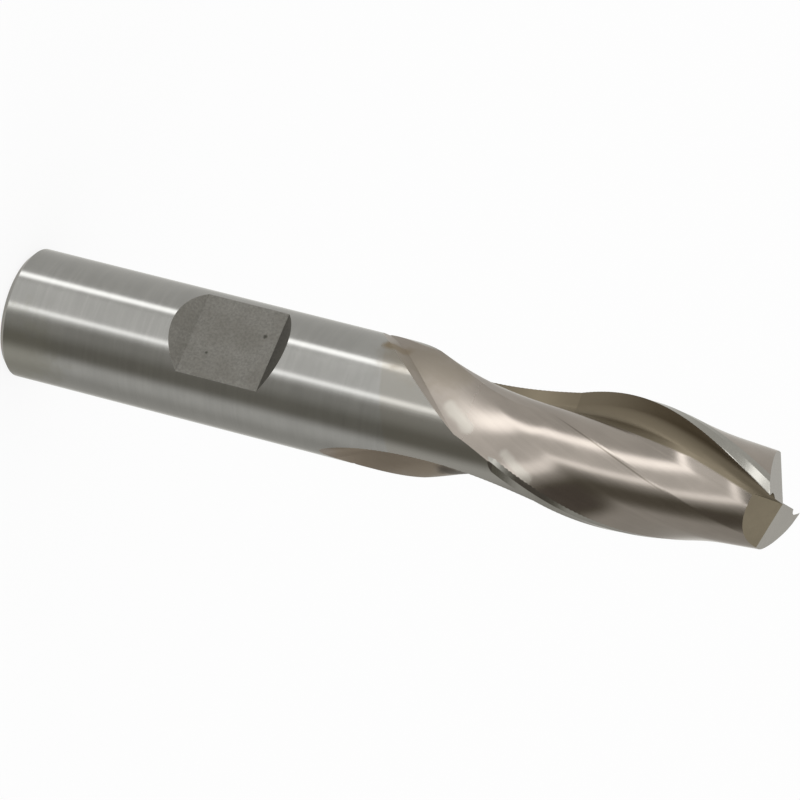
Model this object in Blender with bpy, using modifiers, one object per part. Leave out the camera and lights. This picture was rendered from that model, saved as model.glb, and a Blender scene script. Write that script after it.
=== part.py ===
"""A two-flute, right-hand, centre-cutting end mill with a flatted shank, ground from one steel blank.

The tool stands on its shank end. Its axis is +Z, its cutting end is up, and the origin is the centre of
the shank's end face. Lengths are in metres and angles in radians. An angle round the axis starts at -Y
and grows towards +X, which is the way the cutting edges travel.

It is a turned blank, and each surface on it is cut by a solid of its own: the flat on the shank, the end
teeth, two helical flutes that run out towards the shank, and two bands of relief behind each side edge.
"""

import math

import bmesh
import bpy
from mathutils import Matrix, Vector

# Blank
DIAMETER = 0.0127
OVERALL = 0.0778
END_CHAMFER = 0.00055
BLANK_SIDES = 96

# Flutes. Each is ground in two passes of a wheel, and these give their outlines across the axis. The
# first pass takes the rake face, the hook, the floor and the near half of the core. The second takes the
# far half of the core and the back of the tooth.
TEETH = 2
HELIX_ANGLE = math.radians(30)
TIP_TURN = math.radians(175.5)
RAKE_ANGLE = math.radians(12)
RAKE_DEPTH = 0.00127
HOOK_RADIUS = 0.0014
FLOOR_TURN = math.radians(113.8225)
FLOOR_LENGTH = 0.00144277
CORE_RADIUS = 0.00451
NEAR_SWEEP = math.radians(39.8)
PASS_KINK = math.radians(4)
PASS_OVERLAP = math.radians(5)
FAR_SWEEP = math.radians(52.1)
HEEL_RADIUS = 0.01
HEEL_OVERRUN = 0.0009
SHOULDER_TURN = math.radians(216.7)

# How each pass leaves the steel: the depth where it starts to lift, how gently it starts, the slope it
# settles to, the way it lifts, and how far the work goes on turning with it
RAKE_LIFT_FROM = 0.0224
RAKE_LIFT_EASE = 0.0207
RAKE_LIFT_SLOPE = 0.782
RAKE_LIFT_TURN = math.radians(118.7)
RAKE_TURNING = 0.608
BACK_LIFT_FROM = 0.0228
BACK_LIFT_EASE = 0.0134
BACK_LIFT_SLOPE = 0.779
BACK_LIFT_TURN = math.radians(55.9)
BACK_TURNING = 0.946
LIFT_STEPS = 16

# Relief behind each side edge
CUT_LENGTH = 0.0265
MARGIN = 0.00006
PRIMARY_WIDTH = 0.00088
PRIMARY_CLEARANCE = math.radians(10)
SECONDARY_WIDTH = 0.0019
SECONDARY_CLEARANCE = math.radians(28)
RELIEF_RUNOUT = 0.003
RELIEF_LIFT = 0.00076

# Flat on the shank
FLAT_ACROSS = 0.011
FLAT_LENGTH = 0.00838
FLAT_FROM_BACK = 0.02299
FLAT_TURN = math.radians(-24.4)

# End teeth
DISH_DEPTH = 0.0002
END_CLEARANCE = math.radians(17.5)
GASH_FALL = math.radians(30.6)
GASH_LEAN = math.radians(19.1)
WEB_HALF = 0.00005

# How finely the cutters are stepped, and how far they stand clear of the steel
FLUTE_STEP = 0.00115
ARC_STEP = math.radians(9)
RIM_STEP = math.radians(20)
CLEAR = 0.003

RADIUS = DIAMETER / 2
OUTSIDE = RADIUS + CLEAR
RIM_RADIUS = OUTSIDE + CLEAR
LEAD = math.pi * DIAMETER / math.tan(HELIX_ANGLE)


def steel(name, colour, roughness):
    """A Principled metal."""
    material = bpy.data.materials.new(name)
    material.use_nodes = True
    shader = material.node_tree.nodes["Principled BSDF"]
    shader.inputs["Base Color"].default_value = (*colour, 1)
    shader.inputs["Metallic"].default_value = 1
    shader.inputs["Roughness"].default_value = roughness
    material.diffuse_color = (*colour, 1)
    return material


def add_object(name, mesh, collection, material):
    """Put a mesh in the scene with one material."""
    mesh.materials.append(material)
    made = bpy.data.objects.new(name, mesh)
    collection.objects.link(made)
    return made


def add_cutter(name, mesh, collection, material):
    """Put a mesh in the scene as a cutter, which is drawn as wire and never rendered."""
    cutter = add_object(name, mesh, collection, material)
    cutter.hide_render = True
    cutter.display_type = "WIRE"
    return cutter


def cut(target, cutter):
    """Take the cutter out of the target. The cut surface keeps the cutter's material."""
    modifier = target.modifiers.new(cutter.name, "BOOLEAN")
    modifier.operation = "DIFFERENCE"
    modifier.solver = "EXACT"
    modifier.material_mode = "TRANSFER"
    modifier.object = cutter


def blank_mesh():
    """Half the blank's section, down its outer side, for the Screw modifier to turn."""
    mesh = bpy.data.meshes.new("blank")
    section = [
        (0, OVERALL),
        (RADIUS, OVERALL),
        (RADIUS, END_CHAMFER),
        (RADIUS - END_CHAMFER, 0),
        (0, 0),
    ]
    edges = [(i, i + 1) for i in range(len(section) - 1)]
    mesh.from_pydata([(x, 0, z) for x, z in section], edges, [])
    return mesh


def turn_blank(blank):
    """Turn the half section into a solid of revolution."""
    screw = blank.modifiers.new("turn", "SCREW")
    screw.steps = BLANK_SIDES
    screw.render_steps = BLANK_SIDES
    screw.use_merge_vertices = True
    screw.merge_threshold = 0.00001
    screw.use_smooth_shade = True


def heading(angle):
    """A unit vector at an angle in the plane across the axis."""
    return Vector((math.cos(angle), math.sin(angle)))


def arc_points(start, direction, radius, sweep):
    """Points along an arc that leaves start in a direction. A positive sweep turns to the left."""
    side = math.copysign(1, sweep)
    centre = start + side * radius * heading(direction + math.pi / 2)
    count = max(2, round(abs(sweep) / ARC_STEP))
    points = []
    for i in range(1, count + 1):
        turned = direction + sweep * i / count
        points.append(centre - side * radius * heading(turned + math.pi / 2))
    return points


def near_side():
    """The points from the start of the hook, round it, and along the floor to its end.

    The cutting edge is at (RADIUS, 0) and the flute is on its +Y side.
    """
    rake = math.pi + RAKE_ANGLE
    points = [Vector((RADIUS, 0)) + RAKE_DEPTH * heading(rake)]
    points += arc_points(points[0], rake, HOOK_RADIUS, FLOOR_TURN - rake)
    points.append(points[-1] + FLOOR_LENGTH * heading(FLOOR_TURN))
    return points


def close_outside(points):
    """Close an outline round the outside of the steel, from its last point back to its first."""
    first = math.atan2(points[0].y, points[0].x)
    last = math.atan2(points[-1].y, points[-1].x) % (2 * math.pi)
    steps = math.ceil((last - first) / RIM_STEP)
    return points + [RIM_RADIUS * heading(last + (first - last) * i / steps) for i in range(steps + 1)]


def rake_outline():
    """The first pass: in down the rake face, round the hook, along the floor, over the core and out."""
    points = near_side()
    points.insert(0, points[0] - RADIUS * heading(math.pi + RAKE_ANGLE))
    sweep = NEAR_SWEEP + PASS_OVERLAP
    points += arc_points(points[-1], FLOOR_TURN, CORE_RADIUS, sweep)
    points.append(points[-1] + RADIUS * heading(FLOOR_TURN + sweep))
    return close_outside(points)


def back_outline():
    """The second pass: straight in to where the two passes meet on the core, over it, and out at the heel.

    Just outside the steel it turns off along the wheel's shoulder.
    """
    meeting = arc_points(near_side()[-1], FLOOR_TURN, CORE_RADIUS, NEAR_SWEEP)[-1]
    back = FLOOR_TURN + NEAR_SWEEP + PASS_KINK
    points = [meeting - RADIUS * heading(back), meeting]
    points += arc_points(points[-1], back, CORE_RADIUS, FAR_SWEEP)
    heel = back + FAR_SWEEP
    outer = RADIUS + HEEL_OVERRUN
    while points[-1].length < outer:
        points += arc_points(points[-1], heel, HEEL_RADIUS, ARC_STEP / 2)[-1:]
        heel += ARC_STEP / 2
    inner = points[-2].length
    points[-1] = points[-2].lerp(points[-1], (outer - inner) / (points[-1].length - inner))
    points.append(points[-1] + CLEAR * heading(SHOULDER_TURN))
    return close_outside(points)


def relief_outline():
    """The two bands of clearance behind a cutting edge at (RADIUS, 0), on its -Y side."""
    start = RADIUS * heading(-MARGIN / RADIUS)
    primary = start + PRIMARY_WIDTH * heading(-math.pi / 2 - PRIMARY_CLEARANCE)
    secondary = primary + SECONDARY_WIDTH * heading(-math.pi / 2 - SECONDARY_CLEARANCE)
    outer = OUTSIDE * heading(math.atan2(secondary.y, secondary.x))
    return [start, primary, secondary, outer, OUTSIDE * heading(math.atan2(start.y, start.x))]


def turn_at(depth):
    """How far the first cutting edge has turned at a depth below the tip."""
    return TIP_TURN - 2 * math.pi * depth / LEAD


def place(point, turn, depth):
    """A point of an outline, turned round the axis and put at a depth below the tip."""
    across = Matrix.Rotation(turn - math.pi / 2, 2) @ point
    return Vector((across.x, across.y, OVERALL - depth))


def helical_rings(outline, tooth, length):
    """Copies of an outline that follow the helix from above the tip down to a length."""
    around = 2 * math.pi * tooth / TEETH
    steps = math.ceil((length + CLEAR) / FLUTE_STEP)
    depths = [-CLEAR + (length + CLEAR) * i / steps for i in range(steps + 1)]
    return [[place(point, turn_at(depth) + around, depth) for point in outline] for depth in depths]


def loft(name, rings):
    """A closed solid through rings with the same number of points, from the tip down."""
    form = bmesh.new()
    made = [[form.verts.new(point) for point in ring] for ring in rings]
    count = len(rings[0])
    for upper, lower in zip(made, made[1:]):
        for i in range(count):
            j = (i + 1) % count
            form.faces.new((upper[i], lower[i], lower[j], upper[j]))
    form.faces.new(made[0])
    form.faces.new(list(reversed(made[-1])))
    bmesh.ops.recalc_face_normals(form, faces=form.faces)
    mesh = bpy.data.meshes.new(name)
    form.to_mesh(mesh)
    form.free()
    mesh.shade_smooth()
    return mesh


def pass_mesh(outline, tooth, start, ease, slope, lift_turn, turning):
    """One pass of one flute. It follows the helix to start and then the wheel lifts clear of the steel."""
    rings = helical_rings(outline, tooth, start)
    around = 2 * math.pi * tooth / TEETH
    reach = math.sqrt((OUTSIDE / slope + ease) ** 2 - ease ** 2)
    for i in range(1, LIFT_STEPS + 1):
        past = reach * i / LIFT_STEPS
        shift = slope * (math.hypot(past, ease) - ease) * heading(lift_turn)
        turn = turn_at(start + past * turning) + around
        rings.append([place(point + shift, turn, start + past) for point in outline])
    return loft("pass", rings)


def rake_pass_mesh(tooth):
    """The first pass of one flute."""
    way = (RAKE_LIFT_FROM, RAKE_LIFT_EASE, RAKE_LIFT_SLOPE, RAKE_LIFT_TURN, RAKE_TURNING)
    return pass_mesh(rake_outline(), tooth, *way)


def back_pass_mesh(tooth):
    """The second pass of one flute."""
    way = (BACK_LIFT_FROM, BACK_LIFT_EASE, BACK_LIFT_SLOPE, BACK_LIFT_TURN, BACK_TURNING)
    return pass_mesh(back_outline(), tooth, *way)


def relief_mesh(tooth):
    """One tooth's relief cutter, which follows the helix over the length of cut and then lifts clear."""
    outline = relief_outline()
    rings = helical_rings(outline, tooth, CUT_LENGTH)
    last = CUT_LENGTH + RELIEF_RUNOUT
    turn = turn_at(last) + 2 * math.pi * tooth / TEETH
    lift = heading(0) * RELIEF_LIFT
    rings.append([place(point + lift, turn, last) for point in outline])
    return loft("relief", rings)


def block_mesh(name, low, high, floor):
    """A block whose lower face is dropped onto a sloping plane, given as z at the axis and two slopes."""
    form = bmesh.new()
    bmesh.ops.create_cube(form, size=1)
    for vertex in form.verts:
        vertex.co.x = low[0] if vertex.co.x < 0 else high[0]
        vertex.co.y = low[1] if vertex.co.y < 0 else high[1]
        if vertex.co.z < 0:
            vertex.co.z = floor[0] + floor[1] * vertex.co.x + floor[2] * vertex.co.y
        else:
            vertex.co.z = OVERALL + OUTSIDE
    mesh = bpy.data.meshes.new(name)
    form.to_mesh(mesh)
    form.free()
    return mesh


def end_meshes():
    """The end relief behind the first tooth's end edge, and the gash in front of the other's.

    Both are in the first tooth's frame: its end edge lies along +Y and the tool cuts towards -X.
    """
    centre = OVERALL - DISH_DEPTH
    dish = DISH_DEPTH / RADIUS
    far = OUTSIDE
    past = -2 * WEB_HALF
    relief = block_mesh("end_relief", (past, 2 * past), (far, far), (centre, -math.tan(END_CLEARANCE), dish))
    fall = math.tan(GASH_FALL)
    lean = math.tan(GASH_LEAN)
    gash = block_mesh("gash", (WEB_HALF, -far), (far, far), (centre, -lean, fall))
    return relief, gash


def flat_mesh():
    """The flat's cutter: a block over the shank with an end sloped at 45 degrees at each end."""
    floor = FLAT_ACROSS - RADIUS
    height = OUTSIDE - floor
    form = bmesh.new()
    bmesh.ops.create_cube(form, size=1)
    for vertex in form.verts:
        outer = vertex.co.y < 0
        vertex.co.x = math.copysign(OUTSIDE, vertex.co.x)
        vertex.co.y = -floor - (height if outer else 0)
        vertex.co.z = math.copysign(FLAT_LENGTH / 2 + (height if outer else 0), vertex.co.z)
    mesh = bpy.data.meshes.new("flat")
    form.to_mesh(mesh)
    form.free()
    return mesh


def collection_named(name):
    """A new collection in the scene."""
    made = bpy.data.collections.new(name)
    bpy.context.scene.collection.children.link(made)
    return made


def clear_scene():
    """Remove every object that the scene holds."""
    for found in list(bpy.data.objects):
        bpy.data.objects.remove(found)


def main():
    """Build the end mill."""
    clear_scene()
    parts = collection_named("endmill")
    cutters = collection_named("cutters")
    shank_steel = steel("ground_shank", (0.60, 0.60, 0.58), 0.28)
    flute_steel = steel("ground_flute", (0.55, 0.51, 0.46), 0.3)
    relief_steel = steel("ground_relief", (0.64, 0.63, 0.60), 0.24)
    flat_steel = steel("milled_flat", (0.42, 0.42, 0.41), 0.5)

    endmill = add_object("endmill", blank_mesh(), parts, shank_steel)
    turn_blank(endmill)

    flat = add_cutter("flat_cutter", flat_mesh(), cutters, flat_steel)
    flat.location.z = FLAT_FROM_BACK
    flat.rotation_euler.z = FLAT_TURN
    cut(endmill, flat)

    end_relief, gash = end_meshes()
    for tooth in range(TEETH):
        turn = Matrix.Rotation(TIP_TURN - math.pi + 2 * math.pi * tooth / TEETH, 4, "Z")
        gash_cutter = add_cutter(f"gash_cutter_{tooth + 1}", gash.copy(), cutters, flute_steel)
        gash_cutter.matrix_world = turn
        cut(endmill, gash_cutter)
        relief_cutter = add_cutter(f"end_relief_cutter_{tooth + 1}", end_relief.copy(), cutters, relief_steel)
        relief_cutter.matrix_world = turn
        cut(endmill, relief_cutter)

    passes = (("rake_pass", rake_pass_mesh), ("back_pass", back_pass_mesh), ("relief", relief_mesh))
    for name, made_by in passes:
        material = relief_steel if name == "relief" else flute_steel
        for tooth in range(TEETH):
            cutter = add_cutter(f"{name}_cutter_{tooth + 1}", made_by(tooth), cutters, material)
            cut(endmill, cutter)


main()
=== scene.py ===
"""The looks of the end mill: its surfaces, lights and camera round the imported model.

The tool is built again here from the sizes of its source, in finer steps, so that each ground surface
has its own finish and the curves are smooth in the picture. Lengths are in metres, angles in radians.
"""

import math

import bmesh
import bpy
from mathutils import Matrix, Vector


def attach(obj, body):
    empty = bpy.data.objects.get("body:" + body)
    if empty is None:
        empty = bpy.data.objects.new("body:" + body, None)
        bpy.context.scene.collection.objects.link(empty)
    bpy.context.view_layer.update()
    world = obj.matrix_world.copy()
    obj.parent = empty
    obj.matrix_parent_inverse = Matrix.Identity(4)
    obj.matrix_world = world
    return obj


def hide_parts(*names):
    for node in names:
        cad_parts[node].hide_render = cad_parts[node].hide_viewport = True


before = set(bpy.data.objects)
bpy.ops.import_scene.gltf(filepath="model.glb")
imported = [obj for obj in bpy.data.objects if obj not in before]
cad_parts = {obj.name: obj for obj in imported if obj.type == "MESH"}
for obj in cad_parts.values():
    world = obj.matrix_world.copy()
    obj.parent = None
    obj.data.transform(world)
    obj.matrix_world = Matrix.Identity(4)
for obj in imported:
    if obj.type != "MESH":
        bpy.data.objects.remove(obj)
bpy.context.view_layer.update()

# Blank
DIAMETER = 0.0127
OVERALL = 0.0778
END_CHAMFER = 0.00055
BLANK_SIDES = 288

# Flutes. Each is ground in two passes of a wheel, and these give their outlines across the axis. The
# first pass takes the rake face, the hook, the floor and the near half of the core. The second takes the
# far half of the core and the back of the tooth.
TEETH = 2
HELIX_ANGLE = math.radians(30)
TIP_TURN = math.radians(175.5)
RAKE_ANGLE = math.radians(12)
RAKE_DEPTH = 0.00127
HOOK_RADIUS = 0.0014
FLOOR_TURN = math.radians(113.8225)
FLOOR_LENGTH = 0.00144277
CORE_RADIUS = 0.00451
NEAR_SWEEP = math.radians(39.8)
PASS_KINK = math.radians(4)
PASS_OVERLAP = math.radians(5)
FAR_SWEEP = math.radians(52.1)
HEEL_RADIUS = 0.01
HEEL_OVERRUN = 0.0009
SHOULDER_TURN = math.radians(216.7)

# How each pass leaves the steel: the depth where it starts to lift, how gently it starts, the slope it
# settles to, the way it lifts, and how far the work goes on turning with it
RAKE_LIFT_FROM = 0.0224
RAKE_LIFT_EASE = 0.0207
RAKE_LIFT_SLOPE = 0.782
RAKE_LIFT_TURN = math.radians(118.7)
RAKE_TURNING = 0.608
BACK_LIFT_FROM = 0.0228
BACK_LIFT_EASE = 0.0134
BACK_LIFT_SLOPE = 0.779
BACK_LIFT_TURN = math.radians(55.9)
BACK_TURNING = 0.946
LIFT_STEPS = 56

# Relief behind each side edge
CUT_LENGTH = 0.0265
MARGIN = 0.00006
PRIMARY_WIDTH = 0.00088
PRIMARY_CLEARANCE = math.radians(10)
SECONDARY_WIDTH = 0.0019
SECONDARY_CLEARANCE = math.radians(28)
RELIEF_RUNOUT = 0.003
RELIEF_LIFT = 0.00076

# Flat on the shank
FLAT_ACROSS = 0.011
FLAT_LENGTH = 0.00838
FLAT_FROM_BACK = 0.02299
FLAT_TURN = math.radians(-24.4)

# End teeth
DISH_DEPTH = 0.0002
END_CLEARANCE = math.radians(17.5)
GASH_FALL = math.radians(30.6)
GASH_LEAN = math.radians(19.1)
WEB_HALF = 0.00005

# How finely the cutters are stepped, how far they stand clear of the steel, and how close two points
# on the axis are made one
FLUTE_STEP = 0.0004
ARC_STEP = math.radians(3)
RIM_STEP = math.radians(30)
CLEAR = 0.003
MERGE_WITHIN = 0.00001

RADIUS = DIAMETER / 2
OUTSIDE = RADIUS + CLEAR
RIM_RADIUS = OUTSIDE + CLEAR
LEAD = math.pi * DIAMETER / math.tan(HELIX_ANGLE)

# Finishes: a colour, its roughness, how fine the lines are in noise cells to a metre, and how far the
# colour goes darker and lighter. All colours are linear.
SHANK_FINISH = ((0.4, 0.4, 0.393), 0.16, 5200.0, 0.05)
RAKE_FINISH = ((0.4, 0.361, 0.329), 0.17, 5200.0, 0.06)
FLUTE_FINISH = ((0.4, 0.361, 0.329), 0.16, 5200.0, 0.06)
RELIEF_FINISH = ((0.4, 0.393, 0.368), 0.18, 6500.0, 0.06)
GASH_FINISH = ((0.186, 0.161, 0.118), 0.3, 6500.0, 0.06)
END_FINISH = ((0.237, 0.224, 0.2), 0.24, 6500.0, 0.06)

# The lines that the wheel leaves: how far they are drawn out, how the fine lines, the coarse lines and the
# clouds are blended, which values are darkest and lightest, and how deep the fine lines are
DRAWN_OUT = 0.03
FINE_SHARE = 0.55
COARSE_SHARE = 0.45
COARSE_SCALE = 0.22
CLOUD_SHARE = 0.5
CLOUD_CELLS = 260.0
SHADE_RANGE = (0.36, 0.64)
ROUGH_RANGE = (0.3, 0.7)
ROUGH_SPREAD = 0.08
LINE_STRENGTH = 0.03
LINE_HEIGHT = 0.00002

# The dull zone next to each cutting edge, rougher, with its olive colour a painted reflection: how far behind
# the edge it reaches, how wide it is near the tip, from which depth it widens and by how much to a metre,
# where its border is gone and full, and how much rougher it is
HOOK_REFLECTION_COLOUR = (0.257, 0.221, 0.164)
HOOK_BEHIND = 0.6
HOOK_WIDTH = 0.26
HOOK_WIDENS_FROM = 0.009
HOOK_WIDENING = 31.4
HOOK_BORDER = (0.05, -0.03)
HOOK_ROUGHER = 0.23

# The fine line where the two passes of a flute meet: its place, the depth of its middle, and how far off
# the line and off the middle it is gone and full
SEAM_COLOUR = (0.157, 0.136, 0.107)
SEAM_TURN = math.radians(82)
SEAM_DEPTH = 0.0165
SEAM_BORDER = (0.028, 0.008)
SEAM_ENDS = (0.0065, 0.0035)
SEAM_STRENGTH = 0.55

# The depths between which the flutes' finish turns duller, and by how much
DULLER_FROM = 0.026
DULLER_AT = 0.033
DULLER_BY = 0.2

# The change of finish on the shank, which leans a little as it goes round
WORN_COLOUR = (0.386, 0.375, 0.35)
WORN_FROM = 0.0394
WORN_LEAN = 0.0018
WORN_BORDER = (-0.0001, 0.0002)
WORN_STRENGTH = 0.8

# Stains, painted highlights and a painted shadow: a place, or the two ends of a streak, then its size, its
# colour and how strong it is
GOLDEN = (0.236, 0.168, 0.086)
UMBER = (0.329, 0.293, 0.243)
YELLOWED = (0.329, 0.321, 0.271)
GLINT_PALE = (0.679, 0.664, 0.614)
TAN = (0.357, 0.3, 0.236)
SHADOW_BLACK = (0.09, 0.08, 0.07)
WASHOUT = (
    (((-0.0053, -0.0034, 0.0382), (-0.0051, -0.0029, 0.0393)), 0.0011, GOLDEN, 0.85),
    (((-0.0046, -0.0036, 0.0400), (-0.0036, -0.0034, 0.0445)), 0.0034, UMBER, 0.65),
)
# Darker and yellower low down at the back end of the shank
YELLOWER_BACK_END = ((((0.0045, -0.0045, 0.0020),), 0.0060, YELLOWED, 0.6),)
# Painted highlights: pale streaks where the narrow rounding along the edges catches the light
PAINTED_EDGE_GLINTS = (
    (((-0.00110, -0.00568, 0.04600), (0.00040, -0.00591, 0.04830)), 0.00075, GLINT_PALE, 0.42),
    (((0.00190, -0.00540, 0.05220), (0.00365, -0.00463, 0.05470)), 0.00062, GLINT_PALE, 0.42),
)
# Where the rake pass runs out: a tan stain, and a black mark that is painted shadow of its deep wall
RUNOUT_STAIN_AND_SHADOW = (
    (((0.0050, -0.0012, 0.0365), (0.0047, 0.0001, 0.0430)), 0.0040, TAN, 0.7),
    (((0.0048, 0.0008, 0.0449), (0.0048, 0.0018, 0.0463)), 0.0012, SHADOW_BLACK, 0.75),
)
STAIN_AND_PAINT_CELLS = 900.0
STAIN_AND_PAINT_ROUGHER = 0.15

# The borders of stains, painted highlights and shadow, and pits, in their own sizes: how ragged, how far out
# they are gone, and full
STAIN_AND_PAINT_BORDER = (0.9, 1.5, 0.7)
PIT_BORDER = (0.8, 1.6, 0.7)

# The flat: the two greys of its grain, its cloudy parts, and its pits, each a place and a size
FLAT_DARK = (0.168, 0.165, 0.153)
FLAT_LIGHT = (0.229, 0.223, 0.208)
FLAT_ROUGHNESS = (0.46, 0.56)
GRAIN_CELLS = 4200.0
GRAIN_RANGE = (0.3, 0.7)
GRAIN_STRENGTH = 0.3
GRAIN_HEIGHT = 0.00003
CLOUDY_COLOUR = (0.186, 0.179, 0.161)
CLOUDY_CELLS = 420.0
CLOUDY_RANGE = (0.35, 0.7)
CLOUDY_STRENGTH = 0.4
FLAT_PITS = (
    ((-0.00325, -0.00363, 0.02585), 0.00026),
    ((-0.00041, -0.00492, 0.02095), 0.00018),
)
PIT_COLOUR = (0.05, 0.049, 0.043)
PIT_CELLS = 3000.0
PIT_STRENGTH = 0.8

# Edges between faces that meet at more than this stay sharp
SHARP_ANGLE = math.radians(7)

# The studio, as tall soft lights and dark screens that lean a little. Each has its place low down and its
# place higher up, as the angle of its middle round +Z from -Y towards +X, how far it is even, how far it
# fades, all in degrees, and how much it adds. The heights are the z of a unit vector.
STUDIO = (
    ((-24, 24, 10, 0.24), (-10, 24, 14, 0.22)),
    ((-65, 1.5, 6, 2.24), (-36, 4, 12, 1.68)),
    ((-5, 1.2, 5, 1.33), (16, 3, 8, 0.7)),
    ((35, 22, 22, -0.28), (58, 17, 22, -0.39)),
    ((50, 5, 25, -0.155), (52, 6, 20, -0.18)),
    ((130, 15, 30, -0.17), (106, 28, 30, -0.18)),
    ((180, 10, 22, 0.12), (180, 10, 22, 0.1)),
)
STUDIO_LOW = -0.31
STUDIO_HIGH = -0.05
STUDIO_LEVEL = (0.66, 0.65, 0.615)
STUDIO_TINT = (1.0, 1.0, 0.99)
STUDIO_DARKEST = (0.115, 0.1, 0.085)
SKY_LEVEL = (1.0, 0.985, 0.94)
SKY_RANGE = (0.12, 0.5)
UNDER_LEVEL = (0.58, 0.565, 0.53)
UNDER_RANGE = (-0.45, -0.65)
WHITE = (1.0, 1.0, 1.0)

# The floor, and how much of it is plain white rather than lit
FLOOR_HALF = 3.0
FLOOR_COLOUR = (0.9, 0.9, 0.9)
FLOOR_ROUGHNESS = 0.9
FLOOR_WHITE = 0.85

# The photograph's view
CAMERA_RIGHT = Vector((-0.24651, 0.31216, 0.91749))
CAMERA_UP = Vector((-0.96914, -0.0794, -0.23338))
CAMERA_PLACE = Vector((-0.000565, -0.413125, 0.179746))
CAMERA_LENS = 208.169
CAMERA_NEAR = 0.01


def blank_mesh():
    """Half the blank's section, down its outer side, for the Screw modifier to turn."""
    mesh = bpy.data.meshes.new("blank")
    section = [
        (0, OVERALL),
        (RADIUS, OVERALL),
        (RADIUS, END_CHAMFER),
        (RADIUS - END_CHAMFER, 0),
        (0, 0),
    ]
    edges = [(i, i + 1) for i in range(len(section) - 1)]
    mesh.from_pydata([(x, 0, z) for x, z in section], edges, [])
    return mesh


def turn_blank(blank):
    """Turn the half section into a solid of revolution."""
    screw = blank.modifiers.new("turn", "SCREW")
    screw.steps = BLANK_SIDES
    screw.render_steps = BLANK_SIDES
    screw.use_merge_vertices = True
    screw.merge_threshold = MERGE_WITHIN
    screw.use_smooth_shade = True


def heading(angle):
    """A unit vector at an angle in the plane across the axis."""
    return Vector((math.cos(angle), math.sin(angle)))


def arc_points(start, direction, radius, sweep):
    """Points along an arc that leaves start in a direction. A positive sweep turns to the left."""
    side = math.copysign(1, sweep)
    centre = start + side * radius * heading(direction + math.pi / 2)
    count = max(2, round(abs(sweep) / ARC_STEP))
    points = []
    for i in range(1, count + 1):
        turned = direction + sweep * i / count
        points.append(centre - side * radius * heading(turned + math.pi / 2))
    return points


def near_side():
    """The points from the start of the hook, round it, and along the floor to its end.

    The cutting edge is at (RADIUS, 0) and the flute is on its +Y side.
    """
    rake = math.pi + RAKE_ANGLE
    points = [Vector((RADIUS, 0)) + RAKE_DEPTH * heading(rake)]
    points += arc_points(points[0], rake, HOOK_RADIUS, FLOOR_TURN - rake)
    points.append(points[-1] + FLOOR_LENGTH * heading(FLOOR_TURN))
    return points


def close_outside(points):
    """Close an outline round the outside of the steel, from its last point back to its first."""
    first = math.atan2(points[0].y, points[0].x)
    last = math.atan2(points[-1].y, points[-1].x) % (2 * math.pi)
    steps = math.ceil((last - first) / RIM_STEP)
    return points + [RIM_RADIUS * heading(last + (first - last) * i / steps) for i in range(steps + 1)]


def rake_outline():
    """The first pass: in down the rake face, round the hook, along the floor, over the core and out."""
    points = near_side()
    points.insert(0, points[0] - RADIUS * heading(math.pi + RAKE_ANGLE))
    sweep = NEAR_SWEEP + PASS_OVERLAP
    points += arc_points(points[-1], FLOOR_TURN, CORE_RADIUS, sweep)
    points.append(points[-1] + RADIUS * heading(FLOOR_TURN + sweep))
    return close_outside(points)


def back_outline():
    """The second pass: straight in to where the two passes meet on the core, over it, and out at the heel.

    Just outside the steel it turns off along the wheel's shoulder.
    """
    meeting = arc_points(near_side()[-1], FLOOR_TURN, CORE_RADIUS, NEAR_SWEEP)[-1]
    back = FLOOR_TURN + NEAR_SWEEP + PASS_KINK
    points = [meeting - RADIUS * heading(back), meeting]
    points += arc_points(points[-1], back, CORE_RADIUS, FAR_SWEEP)
    heel = back + FAR_SWEEP
    outer = RADIUS + HEEL_OVERRUN
    while points[-1].length < outer:
        points += arc_points(points[-1], heel, HEEL_RADIUS, ARC_STEP / 2)[-1:]
        heel += ARC_STEP / 2
    inner = points[-2].length
    points[-1] = points[-2].lerp(points[-1], (outer - inner) / (points[-1].length - inner))
    points.append(points[-1] + CLEAR * heading(SHOULDER_TURN))
    return close_outside(points)


def relief_outline():
    """The two bands of clearance behind a cutting edge at (RADIUS, 0), on its -Y side."""
    start = RADIUS * heading(-MARGIN / RADIUS)
    primary = start + PRIMARY_WIDTH * heading(-math.pi / 2 - PRIMARY_CLEARANCE)
    secondary = primary + SECONDARY_WIDTH * heading(-math.pi / 2 - SECONDARY_CLEARANCE)
    outer = OUTSIDE * heading(math.atan2(secondary.y, secondary.x))
    return [start, primary, secondary, outer, OUTSIDE * heading(math.atan2(start.y, start.x))]


def turn_at(depth):
    """How far the first cutting edge has turned at a depth below the tip."""
    return TIP_TURN - 2 * math.pi * depth / LEAD


def place(point, turn, depth):
    """A point of an outline, turned round the axis and put at a depth below the tip."""
    across = Matrix.Rotation(turn - math.pi / 2, 2) @ point
    return Vector((across.x, across.y, OVERALL - depth))


def helical_rings(outline, tooth, length):
    """Copies of an outline that follow the helix from above the tip down to a length."""
    around = 2 * math.pi * tooth / TEETH
    steps = math.ceil((length + CLEAR) / FLUTE_STEP)
    depths = [-CLEAR + (length + CLEAR) * i / steps for i in range(steps + 1)]
    return [[place(point, turn_at(depth) + around, depth) for point in outline] for depth in depths]


def loft(name, rings):
    """A closed solid through rings with the same number of points, from the tip down."""
    form = bmesh.new()
    made = [[form.verts.new(point) for point in ring] for ring in rings]
    count = len(rings[0])
    for upper, lower in zip(made, made[1:]):
        for i in range(count):
            j = (i + 1) % count
            form.faces.new((upper[i], lower[i], lower[j], upper[j]))
    form.faces.new(made[0])
    form.faces.new(list(reversed(made[-1])))
    bmesh.ops.recalc_face_normals(form, faces=form.faces)
    mesh = bpy.data.meshes.new(name)
    form.to_mesh(mesh)
    form.free()
    mesh.shade_smooth()
    return mesh


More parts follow.
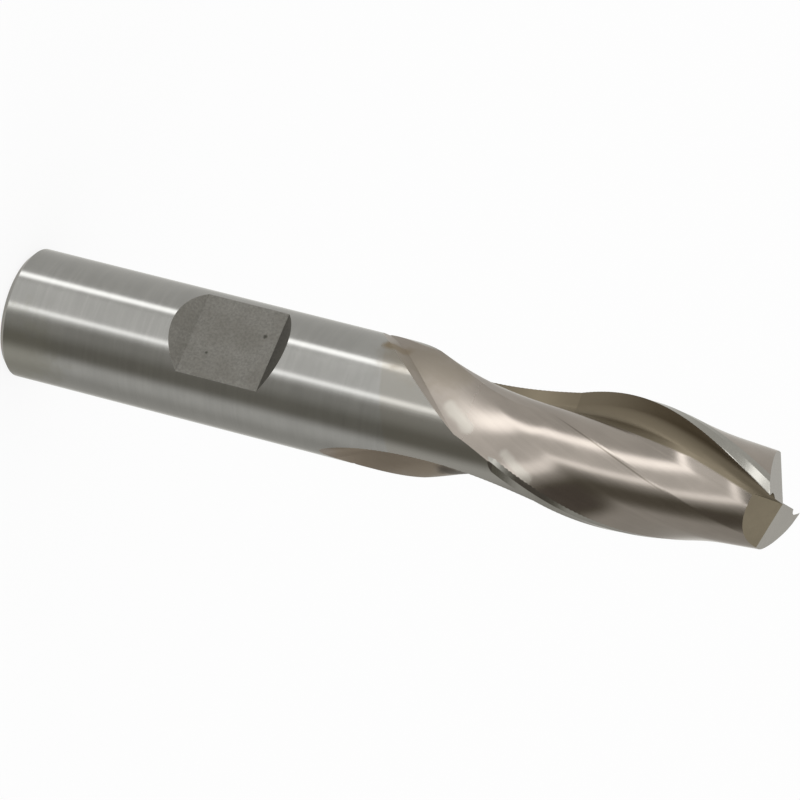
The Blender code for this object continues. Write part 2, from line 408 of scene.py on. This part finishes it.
def pass_mesh(outline, tooth, start, ease, slope, lift_turn, turning):
    """One pass of one flute. It follows the helix to start and then the wheel lifts clear of the steel."""
    rings = helical_rings(outline, tooth, start)
    around = 2 * math.pi * tooth / TEETH
    reach = math.sqrt((OUTSIDE / slope + ease) ** 2 - ease ** 2)
    for i in range(1, LIFT_STEPS + 1):
        past = reach * i / LIFT_STEPS
        shift = slope * (math.hypot(past, ease) - ease) * heading(lift_turn)
        turn = turn_at(start + past * turning) + around
        rings.append([place(point + shift, turn, start + past) for point in outline])
    return loft("pass", rings)


def rake_pass_mesh(tooth):
    """The first pass of one flute."""
    way = (RAKE_LIFT_FROM, RAKE_LIFT_EASE, RAKE_LIFT_SLOPE, RAKE_LIFT_TURN, RAKE_TURNING)
    return pass_mesh(rake_outline(), tooth, *way)


def back_pass_mesh(tooth):
    """The second pass of one flute."""
    way = (BACK_LIFT_FROM, BACK_LIFT_EASE, BACK_LIFT_SLOPE, BACK_LIFT_TURN, BACK_TURNING)
    return pass_mesh(back_outline(), tooth, *way)


def relief_mesh(tooth):
    """One tooth's relief cutter, which follows the helix over the length of cut and then lifts clear."""
    outline = relief_outline()
    rings = helical_rings(outline, tooth, CUT_LENGTH)
    last = CUT_LENGTH + RELIEF_RUNOUT
    turn = turn_at(last) + 2 * math.pi * tooth / TEETH
    lift = heading(0) * RELIEF_LIFT
    rings.append([place(point + lift, turn, last) for point in outline])
    return loft("relief", rings)


def block_mesh(name, low, high, floor):
    """A block whose lower face is dropped onto a sloping plane, given as z at the axis and two slopes."""
    form = bmesh.new()
    bmesh.ops.create_cube(form, size=1)
    for vertex in form.verts:
        vertex.co.x = low[0] if vertex.co.x < 0 else high[0]
        vertex.co.y = low[1] if vertex.co.y < 0 else high[1]
        if vertex.co.z < 0:
            vertex.co.z = floor[0] + floor[1] * vertex.co.x + floor[2] * vertex.co.y
        else:
            vertex.co.z = OVERALL + OUTSIDE
    mesh = bpy.data.meshes.new(name)
    form.to_mesh(mesh)
    form.free()
    return mesh


def end_meshes():
    """The end relief behind the first tooth's end edge, and the gash in front of the other's.

    Both are in the first tooth's frame: its end edge lies along +Y and the tool cuts towards -X.
    """
    centre = OVERALL - DISH_DEPTH
    dish = DISH_DEPTH / RADIUS
    past = -2 * WEB_HALF
    outer = (OUTSIDE, OUTSIDE)
    clearance = math.tan(END_CLEARANCE)
    relief = block_mesh("end_relief", (past, 2 * past), outer, (centre, -clearance, dish))
    fall = math.tan(GASH_FALL)
    lean = math.tan(GASH_LEAN)
    gash = block_mesh("gash", (WEB_HALF, -OUTSIDE), outer, (centre, -lean, fall))
    return relief, gash


def flat_mesh():
    """The flat's cutter: a block over the shank with an end sloped at 45 degrees at each end."""
    floor = FLAT_ACROSS - RADIUS
    height = OUTSIDE - floor
    form = bmesh.new()
    bmesh.ops.create_cube(form, size=1)
    for vertex in form.verts:
        out = height if vertex.co.y < 0 else 0
        vertex.co.x = math.copysign(OUTSIDE, vertex.co.x)
        vertex.co.y = -floor - out
        vertex.co.z = math.copysign(FLAT_LENGTH / 2 + out, vertex.co.z)
    mesh = bpy.data.meshes.new("flat")
    form.to_mesh(mesh)
    form.free()
    return mesh


def rgba(colour):
    """A colour with the fourth number that sockets ask for."""
    return (*colour, 1.0)


class Nodes:
    """A short way to write shader nodes. Every value may also be another node's output."""

    def __init__(self, tree):
        self.tree = tree

    def add(self, kind, **settings):
        """A node with some of its settings."""
        node = self.tree.nodes.new(kind)
        for name, value in settings.items():
            setattr(node, name, value)
        return node

    def put(self, socket, value):
        """Set an input, or link it where the value is an output."""
        if isinstance(value, bpy.types.NodeSocket):
            self.tree.links.new(value, socket)
        else:
            socket.default_value = value

    def math(self, operation, a, b=0.0, c=0.0, clamp=False):
        """What an operation makes of up to three numbers."""
        node = self.add("ShaderNodeMath", operation=operation, use_clamp=clamp)
        for i, value in enumerate((a, b, c)):
            self.put(node.inputs[i], value)
        return node.outputs[0]

    def vector(self, operation, a, b=(0, 0, 0)):
        """What an operation makes of up to two vectors, which is a vector or a number."""
        node = self.add("ShaderNodeVectorMath", operation=operation)
        self.put(node.inputs[0], a)
        self.put(node.inputs[1], b)
        gives_number = operation in ("LENGTH", "DOT_PRODUCT", "DISTANCE")
        return node.outputs["Value" if gives_number else "Vector"]

    def scale(self, vector, factor):
        """A vector times a number."""
        node = self.add("ShaderNodeVectorMath", operation="SCALE")
        self.put(node.inputs[0], vector)
        self.put(node.inputs["Scale"], factor)
        return node.outputs["Vector"]

    def smooth(self, value, low, high, to_low=0.0, to_high=1.0):
        """A smooth step of a value between low and high."""
        node = self.add("ShaderNodeMapRange", interpolation_type="SMOOTHSTEP")
        for i, given in enumerate((value, low, high, to_low, to_high)):
            self.put(node.inputs[i], given)
        return node.outputs[0]

    def mix(self, factor, a, b):
        """A colour part of the way from a to b. The node keeps its colours in inputs 6 and 7 and output 2."""
        node = self.add("ShaderNodeMix", data_type="RGBA")
        self.put(node.inputs[0], factor)
        self.put(node.inputs[6], a)
        self.put(node.inputs[7], b)
        return node.outputs[2]

    def split(self, vector):
        """The three parts of a vector."""
        node = self.add("ShaderNodeSeparateXYZ")
        self.put(node.inputs[0], vector)
        return node.outputs

    def combine(self, x, y, z):
        """A vector from its three parts."""
        node = self.add("ShaderNodeCombineXYZ")
        for i, value in enumerate((x, y, z)):
            self.put(node.inputs[i], value)
        return node.outputs[0]

    def noise(self, at, cells, detail=2.0, roughness=0.5):
        """Noise from 0 to 1 round a middle of 0.5, with so many cells to a metre."""
        node = self.add("ShaderNodeTexNoise")
        self.put(node.inputs["Vector"], at)
        node.inputs["Scale"].default_value = cells
        node.inputs["Detail"].default_value = detail
        node.inputs["Roughness"].default_value = roughness
        return node.outputs["Fac"]

    def height(self, at):
        """The z of a place."""
        return self.split(at)["Z"]

    def round_axis(self, at):
        """The angle of a place round +Z, from -Y towards +X."""
        parts = self.split(at)
        return self.math("ARCTAN2", parts["X"], self.math("MULTIPLY", parts["Y"], -1.0))

    def off_streak(self, at, start, end=None):
        """How far a point lies from a place, or from the line between two places."""
        if end is None:
            return self.vector("DISTANCE", at, start)
        way = Vector(end) - Vector(start)
        from_start = self.vector("SUBTRACT", at, start)
        along = self.vector("DOT_PRODUCT", from_start, way)
        part_way = self.math("DIVIDE", along, way.length_squared, clamp=True)
        return self.vector("DISTANCE", from_start, self.scale(way, part_way))


def untwisted(nodes, at):
    """The angle round the axis, less what the helix turns up to that height."""
    helix = nodes.math("MULTIPLY", nodes.height(at), 2 * math.pi / LEAD)
    return nodes.math("SUBTRACT", nodes.round_axis(at), helix)


def from_edge(nodes, at):
    """The angle that a place in a flute lies ahead of its cutting edge. The hook also reaches behind it."""
    edge = TIP_TURN - OVERALL * 2 * math.pi / LEAD
    ahead = nodes.math("SUBTRACT", untwisted(nodes, at), edge)
    return nodes.math("WRAP", ahead, 2 * math.pi / TEETH - HOOK_BEHIND, -HOOK_BEHIND)


def lines_round(nodes, at):
    """Where to look up the noise for lines that run round the axis."""
    around = nodes.math("MULTIPLY", nodes.round_axis(at), DRAWN_OUT * RADIUS)
    return nodes.combine(around, nodes.height(at), 0.0)


def lines_along(nodes, at):
    """Where to look up the noise for lines that run along the flutes."""
    parts = nodes.split(at)
    across = nodes.math("MULTIPLY", untwisted(nodes, at), RADIUS)
    along = nodes.math("MULTIPLY", parts["Z"], DRAWN_OUT)
    depth = nodes.vector("LENGTH", nodes.combine(parts["X"], parts["Y"], 0.0))
    return nodes.combine(across, along, depth)


def worn(nodes, at, base, rough):
    """The change of finish on the shank, as a layer over a colour and a roughness."""
    line = nodes.math("MULTIPLY_ADD", nodes.round_axis(at), WORN_LEAN, WORN_FROM)
    beyond = nodes.math("SUBTRACT", nodes.height(at), line)
    amount = nodes.smooth(beyond, *WORN_BORDER, 0.0, WORN_STRENGTH)
    return nodes.mix(amount, base, rgba(WORN_COLOUR)), rough


def hooked(nodes, at, base, rough):
    """The dull zone next to each cutting edge, which the wheel's corner ground, as a layer: rougher, and
    olive by a painted reflection.
    """
    deeper = nodes.math("SUBTRACT", OVERALL - HOOK_WIDENS_FROM, nodes.height(at))
    border = nodes.math("MULTIPLY_ADD", nodes.math("MAXIMUM", deeper, 0.0), HOOK_WIDENING, HOOK_WIDTH)
    beyond = nodes.math("SUBTRACT", from_edge(nodes, at), border)
    amount = nodes.smooth(beyond, *HOOK_BORDER)
    # Painted reflection: the zone's olive colour
    base = nodes.mix(amount, base, rgba(HOOK_REFLECTION_COLOUR))
    return base, nodes.math("MULTIPLY_ADD", amount, HOOK_ROUGHER, rough)


def seamed(nodes, at, base, rough):
    """The fine line where the two passes of the wheel meet, as a layer."""
    off_line = nodes.math("ABSOLUTE", nodes.math("SUBTRACT", from_edge(nodes, at), SEAM_TURN))
    off_middle = nodes.math("SUBTRACT", nodes.height(at), OVERALL - SEAM_DEPTH)
    off_middle = nodes.math("ABSOLUTE", off_middle)
    on_line = nodes.smooth(off_line, *SEAM_BORDER)
    shown = nodes.math("MULTIPLY", on_line, nodes.smooth(off_middle, *SEAM_ENDS))
    amount = nodes.math("MULTIPLY", shown, SEAM_STRENGTH)
    return nodes.mix(amount, base, rgba(SEAM_COLOUR)), rough


def duller(nodes, at, base, rough):
    """The duller finish where the flutes run out, as a layer."""
    low, high = OVERALL - DULLER_FROM, OVERALL - DULLER_AT
    amount = nodes.smooth(nodes.height(at), low, high, 0.0, DULLER_BY)
    return base, nodes.math("ADD", rough, amount)


def spot(nodes, gap, edge, size, border, strength):
    """How strong a stain, a painted highlight or shadow, or a pit is at a distance from it, with noise to
    make its border ragged.
    """
    ragged, gone, full = border
    reach = nodes.math("MULTIPLY_ADD", edge, size * ragged, gap)
    return nodes.smooth(reach, size * gone, size * full, 0.0, strength)


def stained_and_painted(nodes, at, base, rough, stains_and_painted_light):
    """A colour and a roughness with stains, painted highlights and painted shadow over them."""
    edge = nodes.noise(at, STAIN_AND_PAINT_CELLS, detail=3.0)
    for ends, size, colour, strength in stains_and_painted_light:
        gap = nodes.off_streak(at, *ends)
        amount = spot(nodes, gap, edge, size, STAIN_AND_PAINT_BORDER, strength)
        base = nodes.mix(amount, base, rgba(colour))
        rough = nodes.math("MULTIPLY_ADD", amount, STAIN_AND_PAINT_ROUGHER, rough)
    return base, rough


def new_material(name):
    """A material, with its shader and its nodes."""
    material = bpy.data.materials.new(name)
    material.use_nodes = True
    return material, material.node_tree.nodes["Principled BSDF"], Nodes(material.node_tree)


def make_metal(shader, nodes, base, rough, height, strength, distance):
    """Give a shader its colour, its roughness and the small bumps of a height."""
    nodes.put(shader.inputs["Base Color"], base)
    shader.inputs["Metallic"].default_value = 1
    nodes.put(shader.inputs["Roughness"], rough)
    bump = nodes.add("ShaderNodeBump")
    bump.inputs["Strength"].default_value = strength
    bump.inputs["Distance"].default_value = distance
    nodes.put(bump.inputs["Height"], height)
    nodes.put(shader.inputs["Normal"], bump.outputs[0])


def steel(name, finish, way=None, layers=(), stains_and_painted_light=()):
    """Ground steel of a finish. The way gives its lines a direction, and the layers and the stains, painted
    highlights and shadow go over it.
    """
    material, shader, nodes = new_material(name)
    colour, roughness, cells, tone = finish
    at = nodes.add("ShaderNodeTexCoord").outputs["Object"]
    lined = way(nodes, at) if way else at
    fine = nodes.noise(lined, cells, detail=3.0, roughness=0.6)
    coarse = nodes.noise(lined, cells * COARSE_SCALE)
    cloud = nodes.noise(at, CLOUD_CELLS, detail=3.0, roughness=0.55)
    lines = nodes.math("MULTIPLY", coarse, COARSE_SHARE)
    lines = nodes.math("ADD", nodes.math("MULTIPLY", fine, FINE_SHARE), lines)
    shade = nodes.math("MULTIPLY", lines, 1 - CLOUD_SHARE)
    shade = nodes.math("MULTIPLY_ADD", cloud, CLOUD_SHARE, shade)
    dark = [c * (1 - tone) for c in colour]
    light = [c * (1 + tone) for c in colour]
    base = nodes.mix(nodes.smooth(shade, *SHADE_RANGE), rgba(dark), rgba(light))
    smoothest = roughness * (1 - ROUGH_SPREAD)
    roughest = roughness * (1 + ROUGH_SPREAD)
    rough = nodes.smooth(shade, *ROUGH_RANGE, smoothest, roughest)
    for layer in layers:
        base, rough = layer(nodes, at, base, rough)
    if stains_and_painted_light:
        base, rough = stained_and_painted(nodes, at, base, rough, stains_and_painted_light)
    make_metal(shader, nodes, base, rough, fine, LINE_STRENGTH, LINE_HEIGHT)
    return material


def matte_flat():
    """The flat on the shank: a dull, grainy face with a few pits."""
    material, shader, nodes = new_material("flat_steel")
    at = nodes.add("ShaderNodeTexCoord").outputs["Object"]
    grain = nodes.noise(at, GRAIN_CELLS, detail=3.0, roughness=0.6)
    cloud = nodes.noise(at, CLOUDY_CELLS, detail=3.0)
    edge = nodes.noise(at, PIT_CELLS)
    base = nodes.mix(nodes.smooth(grain, *GRAIN_RANGE), rgba(FLAT_DARK), rgba(FLAT_LIGHT))
    cloudy = nodes.smooth(cloud, *CLOUDY_RANGE, 0.0, CLOUDY_STRENGTH)
    base = nodes.mix(cloudy, base, rgba(CLOUDY_COLOUR))
    for pit, size in FLAT_PITS:
        gap = nodes.vector("DISTANCE", at, pit)
        amount = spot(nodes, gap, edge, size, PIT_BORDER, PIT_STRENGTH)
        base = nodes.mix(amount, base, rgba(PIT_COLOUR))
    rough = nodes.smooth(cloud, *ROUGH_RANGE, *FLAT_ROUGHNESS)
    make_metal(shader, nodes, base, rough, grain, GRAIN_STRENGTH, GRAIN_HEIGHT)
    return material


def cutter_object(name, mesh, material):
    """A cutter, which only lives until the cut is made."""
    mesh.materials.append(material)
    made = bpy.data.objects.new(name, mesh)
    bpy.context.scene.collection.objects.link(made)
    return made


def shank_and_end_cutters():
    """The cutters of the flat and of the end teeth."""
    flat_cutter = cutter_object("flat_cutter", flat_mesh(), matte_flat())
    flat_cutter.location.z = FLAT_FROM_BACK
    flat_cutter.rotation_euler.z = FLAT_TURN
    gashed = steel("gash_steel", GASH_FINISH)
    ended = steel("end_steel", END_FINISH)
    end_relief, gash = end_meshes()
    cutters = [flat_cutter]
    for tooth in range(TEETH):
        turn = Matrix.Rotation(TIP_TURN - math.pi + 2 * math.pi * tooth / TEETH, 4, "Z")
        for name, mesh, material in (("gash", gash, gashed), ("end", end_relief, ended)):
            cutter = cutter_object(f"{name}_cutter_{tooth}", mesh.copy(), material)
            cutter.matrix_world = turn
            cutters.append(cutter)
    return cutters


def flute_cutters():
    """The cutters of the two passes of each flute, and of the relief behind each edge."""
    # The rake steel carries the painted shadow of the run-out
    rake = steel("rake_steel", RAKE_FINISH, lines_along, (hooked, seamed, duller), RUNOUT_STAIN_AND_SHADOW)
    # The flute and relief steels carry the painted highlights along the edges
    back = steel("flute_steel", FLUTE_FINISH, lines_along, (seamed, duller), WASHOUT + PAINTED_EDGE_GLINTS)
    relief = steel("relief_steel", RELIEF_FINISH, stains_and_painted_light=PAINTED_EDGE_GLINTS)
    kinds = (
        ("rake", rake_pass_mesh, rake),
        ("back", back_pass_mesh, back),
        ("relief", relief_mesh, relief),
    )
    cutters = []
    for name, make_mesh, material in kinds:
        for tooth in range(TEETH):
            cutters.append(cutter_object(f"{name}_cutter_{tooth}", make_mesh(tooth), material))
    return cutters


def cut(target, cutter):
    """Take the cutter out of the target. The cut surface keeps the cutter's material."""
    modifier = target.modifiers.new(cutter.name, "BOOLEAN")
    modifier.operation = "DIFFERENCE"
    modifier.solver = "EXACT"
    modifier.material_mode = "TRANSFER"
    modifier.object = cutter


def ground_tool():
    """The tool as one mesh, each ground surface with its own finish."""
    tool = bpy.data.objects.new("ground_tool", blank_mesh())
    bpy.context.scene.collection.objects.link(tool)
    tool.data.materials.append(
        steel("shank_steel", SHANK_FINISH, lines_round, (worn,), WASHOUT + YELLOWER_BACK_END)
    )
    turn_blank(tool)
    cutters = shank_and_end_cutters() + flute_cutters()
    for cutter in cutters:
        cut(tool, cutter)
    bpy.context.view_layer.update()
    evaluated = tool.evaluated_get(bpy.context.evaluated_depsgraph_get())
    mesh = bpy.data.meshes.new_from_object(evaluated)
    tool.modifiers.clear()
    tool.data = mesh
    for cutter in cutters:
        bpy.data.objects.remove(cutter)
    mesh.shade_smooth()
    mesh.set_sharp_from_angle(angle=SHARP_ANGLE)
    return tool


def floor_material():
    """A white floor that keeps the tool's shadow."""
    material, shader, nodes = new_material("floor_white")
    shader.inputs["Base Color"].default_value = rgba(FLOOR_COLOUR)
    shader.inputs["Roughness"].default_value = FLOOR_ROUGHNESS
    glow = nodes.add("ShaderNodeEmission")
    glow.inputs[0].default_value = rgba(WHITE)
    path = nodes.add("ShaderNodeLightPath")
    seen = nodes.math("MAXIMUM", path.outputs["Is Camera Ray"], path.outputs["Is Glossy Ray"])
    blend = nodes.add("ShaderNodeMixShader")
    nodes.put(blend.inputs[0], nodes.math("MULTIPLY", seen, FLOOR_WHITE))
    nodes.put(blend.inputs[1], shader.outputs[0])
    nodes.put(blend.inputs[2], glow.outputs[0])
    nodes.put(material.node_tree.nodes["Material Output"].inputs[0], blend.outputs[0])
    return material


def make_floor():
    """The floor the tool stands on. The steel reflects the lower part of the studio in its place."""
    form = bmesh.new()
    corners = ((-1, -1), (1, -1), (1, 1), (-1, 1))
    form.faces.new([form.verts.new((x * FLOOR_HALF, y * FLOOR_HALF, 0)) for x, y in corners])
    mesh = bpy.data.meshes.new("floor")
    form.to_mesh(mesh)
    form.free()
    floor = bpy.data.objects.new("floor", mesh)
    bpy.context.scene.collection.objects.link(floor)
    floor.data.materials.append(floor_material())
    floor.visible_glossy = False


def studio_light(nodes, turn, rise):
    """The light that comes from an angle in degrees, at a rise of 0 low down and 1 higher up."""
    light = STUDIO_LEVEL
    for low, high in STUDIO:
        ends = zip(low, high)
        middle, even, fade, level = (nodes.math("MULTIPLY_ADD", rise, b - a, a) for a, b in ends)
        away = nodes.math("ABSOLUTE", nodes.math("SUBTRACT", turn, middle))
        past_half = nodes.math("ABSOLUTE", nodes.math("SUBTRACT", 180.0, away))
        shorter_way = nodes.math("SUBTRACT", 180.0, past_half)
        amount = nodes.smooth(shorter_way, even, nodes.math("ADD", even, fade), level, 0.0)
        light = nodes.vector("ADD", light, nodes.scale(STUDIO_TINT, amount))
    return nodes.vector("MAXIMUM", light, STUDIO_DARKEST)


def make_world():
    """White for the camera and as plain light, and the studio as what the steel reflects."""
    world = bpy.data.worlds.new("studio")
    bpy.context.scene.world = world
    world.use_nodes = True
    nodes = Nodes(world.node_tree)
    way = nodes.add("ShaderNodeTexCoord").outputs["Generated"]
    height = nodes.height(way)
    turn = nodes.math("MULTIPLY", nodes.round_axis(way), 180 / math.pi)
    span = STUDIO_HIGH - STUDIO_LOW
    rise = nodes.math("MULTIPLY_ADD", height, 1 / span, -STUDIO_LOW / span, clamp=True)
    light = studio_light(nodes, turn, rise)
    light = nodes.mix(nodes.smooth(height, *SKY_RANGE), light, rgba(SKY_LEVEL))
    light = nodes.mix(nodes.smooth(height, *UNDER_RANGE), light, rgba(UNDER_LEVEL))
    path = nodes.add("ShaderNodeLightPath")
    reflected = nodes.mix(path.outputs["Is Glossy Ray"], rgba(WHITE), light)
    colour = nodes.mix(path.outputs["Is Camera Ray"], reflected, rgba(WHITE))
    nodes.put(world.node_tree.nodes["Background"].inputs[0], colour)


def make_camera():
    """The photograph's view, which lies on its side because the tool stands."""
    data = bpy.data.cameras.new("camera")
    data.lens = CAMERA_LENS
    data.clip_start = CAMERA_NEAR
    camera = bpy.data.objects.new("camera", data)
    bpy.context.scene.collection.objects.link(camera)
    back = CAMERA_RIGHT.cross(CAMERA_UP)
    turn = Matrix((CAMERA_RIGHT, CAMERA_UP, back)).transposed().to_4x4()
    turn.translation = CAMERA_PLACE
    camera.matrix_world = turn
    bpy.context.scene.camera = camera


make_camera()
tool = ground_tool()
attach(tool, "root")
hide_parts("endmill")
make_floor()
make_world()
bpy.context.scene.view_settings.view_transform = "Standard"
